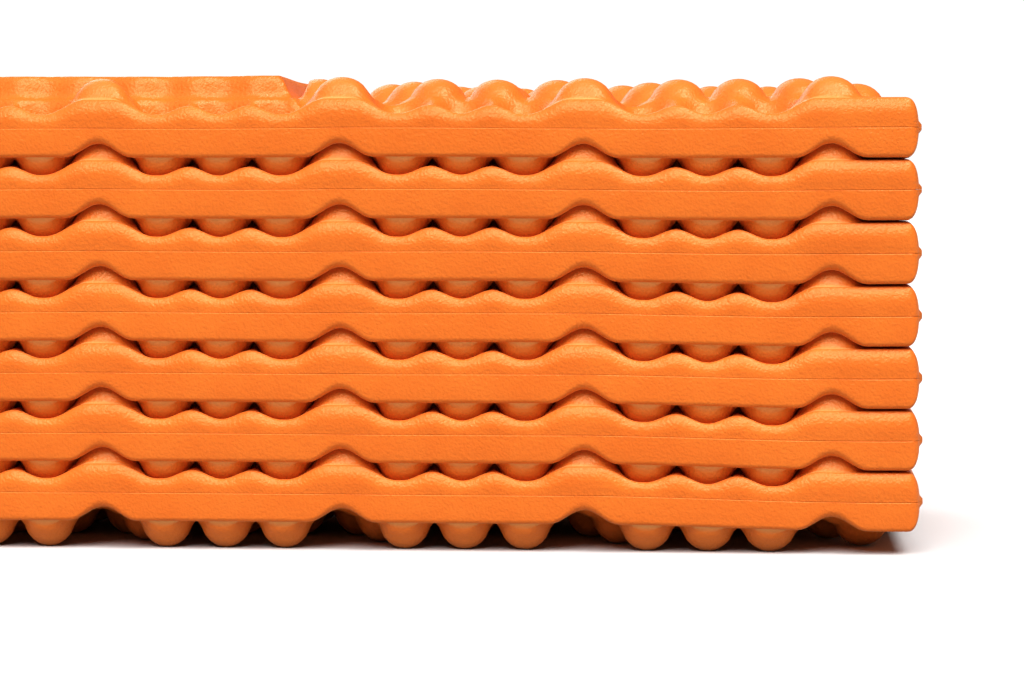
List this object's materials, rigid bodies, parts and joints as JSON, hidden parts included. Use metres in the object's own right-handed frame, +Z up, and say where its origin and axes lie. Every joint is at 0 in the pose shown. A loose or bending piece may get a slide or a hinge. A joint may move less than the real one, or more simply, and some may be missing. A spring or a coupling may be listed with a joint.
{
  "type": "foam sleeping pad",
  "caption": "Closed-cell foam sleeping pad with an egg-crate surface, folded like an accordion at its creases into a block that carries and stores flat.",
  "frame": {"origin": "on the ground under the middle of the folded block (bottom centre of its box)", "axes": "+X along the creases, to the right seen from the front; +Y from the front folds towards the back folds; +Z up through the stack"},
  "size_m": [0.511, 0.1306, 0.1479],
  "materials": {
    "foam": "matt closed-cell foam skin, orange",
    "crease_foam": "matt closed-cell foam, pressed thin at the crease, orange"
  },
  "bodies": {
    "panel_01": {"panel_01": "foam", "front_crease_1": "crease_foam"},
    "panel_02": {"panel_02": "foam", "back_crease_1": "crease_foam"},
    "panel_03": {"panel_03": "foam", "front_crease_2": "crease_foam"},
    "panel_04": {"panel_04": "foam", "back_crease_2": "crease_foam"},
    "panel_05": {"panel_05": "foam", "front_crease_3": "crease_foam"},
    "panel_06": {"panel_06": "foam", "back_crease_3": "crease_foam"},
    "panel_07": {"panel_07": "foam", "front_crease_4": "crease_foam"},
    "panel_08": {"panel_08": "foam", "back_crease_4": "crease_foam"},
    "panel_09": {"panel_09": "foam", "front_crease_5": "crease_foam"},
    "panel_10": {"panel_10": "foam", "back_crease_5": "crease_foam"},
    "panel_11": {"panel_11": "foam", "front_crease_6": "crease_foam"},
    "panel_12": {"panel_12": "foam", "back_crease_6": "crease_foam"},
    "panel_13": {"panel_13": "foam", "front_crease_7": "crease_foam"},
    "panel_14": {"panel_14": "foam"}
  },
  "joints": [
    {"name": "front_fold_1", "type": "hinge", "parent": "panel_01", "child": "panel_02", "pos_m": [0, -0.06535, 0.01803], "axis": [1, 0, 0], "range_deg": [0, 180]},
    {"name": "back_fold_1", "type": "hinge", "parent": "panel_02", "child": "panel_03", "pos_m": [0, 0.06535, 0.02746], "axis": [-1, 0, 0], "range_deg": [0, 180]},
    {"name": "front_fold_2", "type": "hinge", "parent": "panel_03", "child": "panel_04", "pos_m": [0, -0.06535, 0.03689], "axis": [1, 0, 0], "range_deg": [0, 180]},
    {"name": "back_fold_2", "type": "hinge", "parent": "panel_04", "child": "panel_05", "pos_m": [0, 0.06535, 0.04632], "axis": [-1, 0, 0], "range_deg": [0, 180]},
    {"name": "front_fold_3", "type": "hinge", "parent": "panel_05", "child": "panel_06", "pos_m": [0, -0.06535, 0.05575], "axis": [1, 0, 0], "range_deg": [0, 180]},
    {"name": "back_fold_3", "type": "hinge", "parent": "panel_06", "child": "panel_07", "pos_m": [0, 0.06535, 0.06518], "axis": [-1, 0, 0], "range_deg": [0, 180]},
    {"name": "front_fold_4", "type": "hinge", "parent": "panel_07", "child": "panel_08", "pos_m": [0, -0.06535, 0.07461], "axis": [1, 0, 0], "range_deg": [0, 180]},
    {"name": "back_fold_4", "type": "hinge", "parent": "panel_08", "child": "panel_09", "pos_m": [0, 0.06535, 0.08404], "axis": [-1, 0, 0], "range_deg": [0, 180]},
    {"name": "front_fold_5", "type": "hinge", "parent": "panel_09", "child": "panel_10", "pos_m": [0, -0.06535, 0.09347], "axis": [1, 0, 0], "range_deg": [0, 180]},
    {"name": "back_fold_5", "type": "hinge", "parent": "panel_10", "child": "panel_11", "pos_m": [0, 0.06535, 0.1029], "axis": [-1, 0, 0], "range_deg": [0, 180]},
    {"name": "front_fold_6", "type": "hinge", "parent": "panel_11", "child": "panel_12", "pos_m": [0, -0.06535, 0.11233], "axis": [1, 0, 0], "range_deg": [0, 180]},
    {"name": "back_fold_6", "type": "hinge", "parent": "panel_12", "child": "panel_13", "pos_m": [0, 0.06535, 0.12176], "axis": [-1, 0, 0], "range_deg": [0, 180]},
    {"name": "front_fold_7", "type": "hinge", "parent": "panel_13", "child": "panel_14", "pos_m": [0, -0.06535, 0.13119], "axis": [1, 0, 0], "range_deg": [0, 180]}
  ]
}
